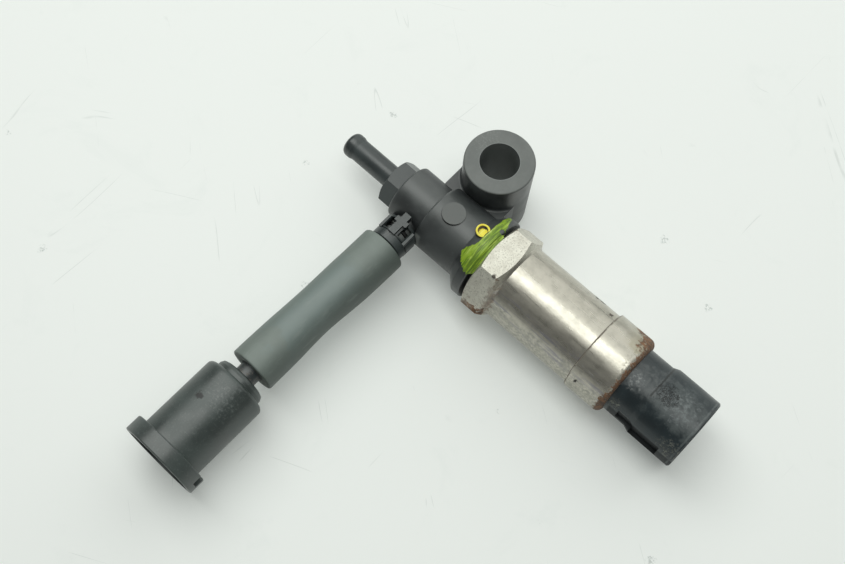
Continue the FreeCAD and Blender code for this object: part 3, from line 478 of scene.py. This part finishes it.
def brushed_paint(name, colour, pale, deep):
    """Hand-brushed marking paint: streaks of thinner and thicker colour along the stroke."""
    skin = Finish(name, colour, 0.42)
    streak = skin.noise(1.6, 5, 0.62, stretch=(2.4, 0.17, 0.17), warp=0.3)
    thick = skin.mix(skin.ramp(streak, 0.5, 0.36), colour, deep)
    skin.feed("Base Color", skin.mix(skin.ramp(streak, 0.54, 0.7), thick, pale))
    skin.emboss(streak, 0.12)
    return skin


def table_top():
    """Pale table that glows faintly, with fine grey veins and a few spots."""
    pale, worn = (0.77, 0.78, 0.77), (0.74, 0.755, 0.745)
    top = Finish("table_top", pale, 0.55)
    clouds = top.ramp(top.noise(30, 6, 0.7, warp=1.0), 0.55, 0.75)
    top.feed("Base Color", top.mix(clouds, pale, worn))
    marks = []
    for turn, size in ((0.5, 34), (1.6, 41), (2.5, 27)):
        links = {"Vector": top.place, "Rotation": (0, 0, turn), "Scale": (14, 1, 1)}
        grain = top.node("ShaderNodeMapping", links, vector_type="TEXTURE").outputs[0]
        lines = top.node("ShaderNodeTexNoise", {"Vector": grain, "Scale": 1 / size, "Detail": 3.0})
        vein = top.math("ABSOLUTE", top.math("SUBTRACT", lines.outputs["Fac"], 0.5))
        patch = top.ramp(top.noise(size * 0.8, 3), 0.58, 0.66)
        marks.append(top.math("MULTIPLY", top.both(top.ramp(vein, 0.002, 0.0), patch), 0.5))
    spots = top.ramp(top.ragged(top.cells(25), 0.03, 1.2), 0.06, 0.03)
    marks.append(top.both(spots, top.ramp(top.noise(0.9, 3, 0.7), 0.42, 0.55)))
    top.cover(top.either(*marks), (0.36, 0.39, 0.38), 0.6, share=0.75)
    top.set("Emission Color", (0.93, 1.0, 0.94, 1))
    top.set("Emission Strength", 0.16)
    return top


SKINS = {
    "manifold_plastic": manifold_plastic(),
    "nipple_plastic": nipple_plastic(),
    "connector_plastic": connector_plastic(),
    "cup_plastic": cup_plastic(),
    "hose_rubber": hose_rubber(),
    "seal_rubber": rubber("seal_rubber", (0.02, 0.02, 0.02)),
    "plated_steel": plated_steel(),
    "crimped_steel": crimped_steel(),
    "magnetic_steel": steel("magnetic_steel", (0.45, 0.45, 0.46), 0.35),
    "stainless_steel": steel("stainless_steel", (0.6, 0.61, 0.62), 0.25),
    "spring_steel": steel("spring_steel", (0.42, 0.42, 0.44), 0.3),
    "brass_metal": steel("brass_metal", (0.72, 0.53, 0.26), 0.3),
    "sintered_bronze": steel("sintered_bronze", (0.45, 0.32, 0.18), 0.6),
    "copper_winding": steel("copper_winding", (0.62, 0.26, 0.12), 0.3),
    "bobbin_plastic": black_plastic("bobbin_plastic", (0.72, 0.68, 0.6), 0.45, dust=0),
    "carrier_plastic": black_plastic("carrier_plastic", (0.03, 0.033, 0.036), 0.4),
    "contact_metal": steel("contact_metal", (0.74, 0.7, 0.62), 0.25),
}


def dress_nodes():
    """Give every CAD node the finish of its record slot."""
    for entry in frame["record"]["subparts"]:
        mesh = NODES[entry["node"]].data
        mesh.materials.clear()
        mesh.materials.append(SKINS[entry["material_slot"]].material)


# --- pieces ---------------------------------------------------------------------------------

def add_piece(name, points, faces, skin, body):
    """A smooth-shaded mesh piece that rides on a body."""
    mesh = bpy.data.meshes.new(name)
    mesh.from_pydata(points, [], faces)
    mesh.shade_smooth()
    mesh.materials.append(skin.material)
    piece = bpy.data.objects.new(name, mesh)
    bpy.context.scene.collection.objects.link(piece)
    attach(piece, body)
    return piece


def strip(first, second, sides):
    """Faces between two rings of points, which start at points first and second."""
    return [(first + side, first + (side + 1) % sides, second + (side + 1) % sides, second + side)
            for side in range(sides)]


def thicken(piece, thickness):
    """Give a film of paint its thickness, inwards from its outer face."""
    solid = piece.modifiers.new("film", "SOLIDIFY")
    solid.thickness = thickness
    solid.offset = -1


def make_hose():
    """Grey hose in a shallow S, stretched a little over the barbs at both ends."""
    low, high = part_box("rubber_hose")
    outer = (high.z - low.z) / 2
    bore = outer * 0.5
    near_x, far_x = high.x - outer, low.x + outer
    length = high.y - low.y
    lip = 0.5 * MM
    steps, sides = 44, 72

    def waist(part):
        """How much of the hose's slimmest stretch there is at a part of its length."""
        return math.exp(-((part - 0.55) / 0.2) ** 2)

    mouth = [
        (0, bore + 0.35 * MM), (0, outer - lip), (0.12 * lip, outer - 0.45 * lip),
        (0.5 * lip, outer - 0.1 * lip), (lip, outer),
    ]
    stations = list(mouth)
    for number in range(1, steps):
        part = number / steps
        stations.append((length * part, outer - 0.5 * MM * waist(part)))
    stations += [(length - place, radius) for place, radius in reversed(mouth)]
    stations += [(length - lip, bore), (length * 0.5, bore), (lip, bore)]
    points = []
    for place, radius in stations:
        part = place / length
        sway = near_x + (far_x - near_x) * part * part * (3 - 2 * part) - 0.25 * MM * waist(part)
        slope = (far_x - near_x) * 6 * part * (1 - part) / length
        for side in range(sides):
            turn = math.tau * side / sides
            across = radius * math.cos(turn)
            spot = Vector((part * 9, math.cos(turn), math.sin(turn)))
            wobble = 1 + 0.006 * noise.noise(spot)
            points.append((sway + across * wobble, high.y - place + across * slope,
                           radius * wobble * math.sin(turn)))
    faces = []
    for ring in range(len(stations)):
        faces += strip(ring * sides, (ring + 1) % len(stations) * sides, sides)
    hose = add_piece("grey_hose", points, faces, SKINS["hose_rubber"], "manifold")
    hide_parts("rubber_hose")


def make_return_spring():
    """Return spring with closed end coils, riding on the manifold."""
    low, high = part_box("return_spring")
    length = high.x - low.x
    centre_y, centre_z = (low.y + high.y) / 2, (low.z + high.z) / 2
    wire = 0.25 * MM
    coil = (high.z - low.z) / 2 - wire
    turns, steps, sides = 9, 48, 12
    closed_pitch, closed_turns = 0.4, 0.75
    climb = [0.0]
    for number in range(turns * steps):
        turn = number / steps
        opened = min(1, max(0, min(turn, turns - turn) - closed_turns))
        climb.append(climb[-1] + closed_pitch + (1 - closed_pitch) * opened)
    points, faces = [], []
    for number, height in enumerate(climb):
        turn = math.tau * number / steps
        along = low.x + wire + (length - 2 * wire) * height / climb[-1]
        for side in range(sides):
            around = math.tau * side / sides
            radius = coil + wire * math.cos(around)
            points.append((along + wire * math.sin(around), centre_y + radius * math.cos(turn),
                           centre_z + radius * math.sin(turn)))
    last = turns * steps * sides
    for ring in range(0, last, sides):
        faces += strip(ring, ring + sides, sides)
    faces += [tuple(range(sides)), tuple(range(last + sides - 1, last - 1, -1))]
    spring = add_piece("coiled_return_spring", points, faces, SKINS["spring_steel"], "manifold")
    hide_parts("return_spring")
    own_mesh(spring)


def flange_skin(along):
    """Radius of the manifold's barrel, shoulder and flange along the axis, on to the hexagon."""
    barrel, flange = 10.9, 14.0
    shoulder_start, flange_start, flange_end = 9.5, 12.7, 15.5
    if along < shoulder_start:
        return barrel
    if along < flange_start:
        return barrel + (along - shoulder_start) * 0.97
    if along < flange_end:
        return flange
    sag = 0.75 * min(1, (along - flange_end) / 0.8) ** 0.7
    return flange - sag + 0.12 * max(0, along - 16.3)


STROKE_START, STROKE_END = 38.0, 147.0  # degrees round the main axis


def stroke_edges(angle):
    """Where the green stroke starts and ends along the axis, at an angle round it."""
    front = 12.5 - 3 * math.exp(-((angle - 57) / 15) ** 2)
    back = 17.4 - 3.9 * (max(0, angle - 98) / 49) ** 0.8
    taper = 1 - max(0, (STROKE_START + 12 - angle) / 12, (angle - STROKE_END + 6) / 6) ** 2
    middle = front + 0.65 * (back - front)
    return middle + (front - middle) * taper, middle + (back - middle) * taper


def make_paint_stroke():
    """Green marking paint brushed across the flange, the gap behind it and the hexagon's edge."""
    rows, columns = 150, 260
    left, right = 8.8, 18.4
    points, faces, inside = [], [], []
    for column in range(columns + 1):
        angle = STROKE_START + (STROKE_END - STROKE_START) * column / columns
        turn = math.radians(angle)
        for row in range(rows + 1):
            along = left + (right - left) * row / rows
            streak = noise.noise(Vector((along * 2.2, angle * 0.03, 1.7)))
            edge = 0.45 * noise.fractal(Vector((along * 0.35, angle * 0.12, 5.1)), 1, 2, 4)
            comb = 3.5 * noise.noise(Vector((along * 2.4, angle * 0.02, 9.3)))
            front, back = stroke_edges(angle + comb)
            missed = math.hypot((along - 15.3) * 1.1, (angle - 109) * 0.24) - 0.9
            margin = min(along - front - edge, back + edge - along, missed + edge)
            inside.append(margin > 0)
            film = 0.05 + 0.07 * min(1, max(0, margin) / 0.5) + 0.05 * streak
            radius = (flange_skin(along) + max(0.02, film)) * MM
            points.append((along * MM, MAIN_Y - radius * math.cos(turn), radius * math.sin(turn)))
    for column in range(columns):
        for row in range(rows):
            first = column * (rows + 1) + row
            face = (first, first + 1, first + rows + 2, first + rows + 1)
            if all(inside[corner] for corner in face):
                faces.append(face)
    used = sorted({corner for face in faces for corner in face})
    order = {corner: number for number, corner in enumerate(used)}
    paint = brushed_paint("green_paint", colour=(0.30, 0.46, 0.025), pale=(0.62, 0.76, 0.20),
                          deep=(0.11, 0.21, 0.012))
    # Painted shade: the paint towards the hexagon, over the gap behind the flange, is coloured a
    # deep olive.
    painted_gap_shade = paint.both(paint.ramp(paint.ragged(paint.axis("X"), 1.0, 2), 12.4, 14.0),
                      paint.ramp(paint.noise(1.4, 5, 0.62, stretch=(2, 0.2, 0.2)), 0.42, 0.56))
    paint.cover(painted_gap_shade, (0.085, 0.15, 0.012), 0.5, share=0.75)
    stroke = add_piece("green_paint_stroke", [points[corner] for corner in used],
                       [[order[corner] for corner in face] for face in faces], paint, "manifold")
    thicken(stroke, 0.09 * MM)


def yellow_paint():
    """Yellow marking paint, with dark brown painted shade round the dish and below the rim, and
    lighter brown painted shade on two sides of the pip.
    """
    paint = brushed_paint("yellow_paint", colour=(0.96, 0.84, 0.07), pale=(0.97, 0.93, 0.36),
                          deep=(0.93, 0.75, 0.05))
    level = paint.axis("Z")
    from_dish = paint.ragged(paint.distance((11.15, -19.76, 13.0)), 0.15, 0.8)
    # Painted shade: the dish's wall and the pip's side below the rim are coloured dark brown.
    dish_wall_shade = paint.both(paint.ramp(from_dish, 1.3, 1.42), paint.ramp(level, 13.5, 13.42))
    paint.cover(dish_wall_shade, (0.05, 0.035, 0.02), 0.5)
    # Painted shade: two patches on the pip's left side are coloured a lighter brown.
    skirt = paint.either(paint.near((9.2, -20.9, 12.7), 1.7, 0.3),
                         paint.near((9.2, -18.4, 12.7), 1.6, 0.3))
    paint.cover(paint.both(skirt, paint.ramp(level, 13.6, 13.3)), (0.20, 0.12, 0.04), 0.5)
    return paint


def make_paint_dab():
    """Yellow dab on the moulded pip: over its rim, down one side and into the dish in its top."""
    centre = Vector((10.9 * MM, MAIN_Y + 0.9 * MM, 0))
    dish_radius, skirt_radius, rim_level = 1.45, 2.21, 13.4
    profile = [
        (0.0, 13.05), (0.8, 13.02), (1.25, 12.95), (1.44, 12.9), (1.47, 13.3), (1.56, 13.56),
        (1.8, 13.6), (2.08, 13.56), (2.2, 13.4), (2.23, 12.8), (2.25, 12.0),
    ]
    sides = 64
    points = [(*centre.xy, profile[0][1] * MM)]
    faces = []
    for number, (radius, level) in enumerate(profile[1:]):
        ring = 1 + number * sides
        for side in range(sides):
            turn = math.tau * side / sides
            spot = Vector((radius * 2, 2 * math.cos(turn), 2 * math.sin(turn)))
            ripple = 0.05 * noise.noise(spot)
            run = 0.55 + 0.45 * math.cos(turn - 0.5)
            drop = (rim_level - level) * (1 - run) if radius > skirt_radius else 0
            heap = 0.22 * radius * math.cos(turn + 0.81) if radius < dish_radius else 0
            points.append((centre.x + radius * MM * math.cos(turn),
                           centre.y + radius * MM * math.sin(turn),
                           (level + drop + heap + ripple) * MM))
            beside = (side + 1) % sides
            if number == 0:
                faces.append((0, ring + side, ring + beside))
            else:
                faces.append((ring - sides + side, ring + side,
                              ring + beside, ring - sides + beside))
    dab = add_piece("yellow_paint_dab", points, faces, yellow_paint(), "manifold")
    thicken(dab, 0.04 * MM)


# --- stage ----------------------------------------------------------------------------------

DAYLIGHT = (0.965, 1.0, 0.96)


def area_light(name, place, size, watts):
    """A rectangular softbox, its first size along its tilt, that the camera itself doesn't see."""
    data = bpy.data.lights.new(name, "AREA")
    data.shape = "RECTANGLE"
    data.size, data.size_y = size
    data.energy = watts
    data.color = DAYLIGHT
    light = bpy.data.objects.new(name, data)
    light.location = place
    light.rotation_mode = "QUATERNION"
    target = Vector((0.02, -0.03, 0))
    light.rotation_quaternion = (target - Vector(place)).to_track_quat("-Z", "X")
    light.visible_camera = False
    bpy.context.scene.collection.objects.link(light)


def make_stage():
    """Pale table, a soft light over it, a window behind it and a quiet room."""
    bpy.ops.mesh.primitive_plane_add(size=6, location=(0, 0, FLOOR_Z))
    table = bpy.context.object
    table.name = "table"
    table.data.materials.append(table_top().material)
    area_light("softbox", place=(-0.2, -0.01, 0.8), size=(1.2, 0.46), watts=4.7)
    area_light("window", place=(-0.1, 0.62, 0.52), size=(0.98, 1.3), watts=3.5)
    world = bpy.data.worlds.new("room")
    bpy.context.scene.world = world
    world.use_nodes = True
    room = world.node_tree.nodes["Background"]
    room.inputs["Color"].default_value = (*DAYLIGHT, 1)
    room.inputs["Strength"].default_value = 0.2


def make_camera():
    """Camera over the object, looking down and a little along the branch."""
    data = bpy.data.cameras.new("camera")
    data.sensor_width = 36
    data.lens = 50.75
    camera = bpy.data.objects.new("camera", data)
    place = (0.08669, -0.14028, 0.32921)
    back = Vector((0.2288, -0.2857, 0.9306)).normalized()
    right = Vector((0.733, 0.6797, 0.0285))
    right = (right - right.dot(back) * back).normalized()
    up = back.cross(right)
    turned = Matrix((right, up, back)).transposed().to_4x4()
    camera.matrix_world = Matrix.Translation(place) @ turned
    bpy.context.scene.collection.objects.link(camera)
    bpy.context.scene.camera = camera


dress_nodes()
make_hose()
make_return_spring()
make_paint_stroke()
make_paint_dab()
make_stage()
make_camera()
bpy.context.scene.view_settings.view_transform = "Standard"
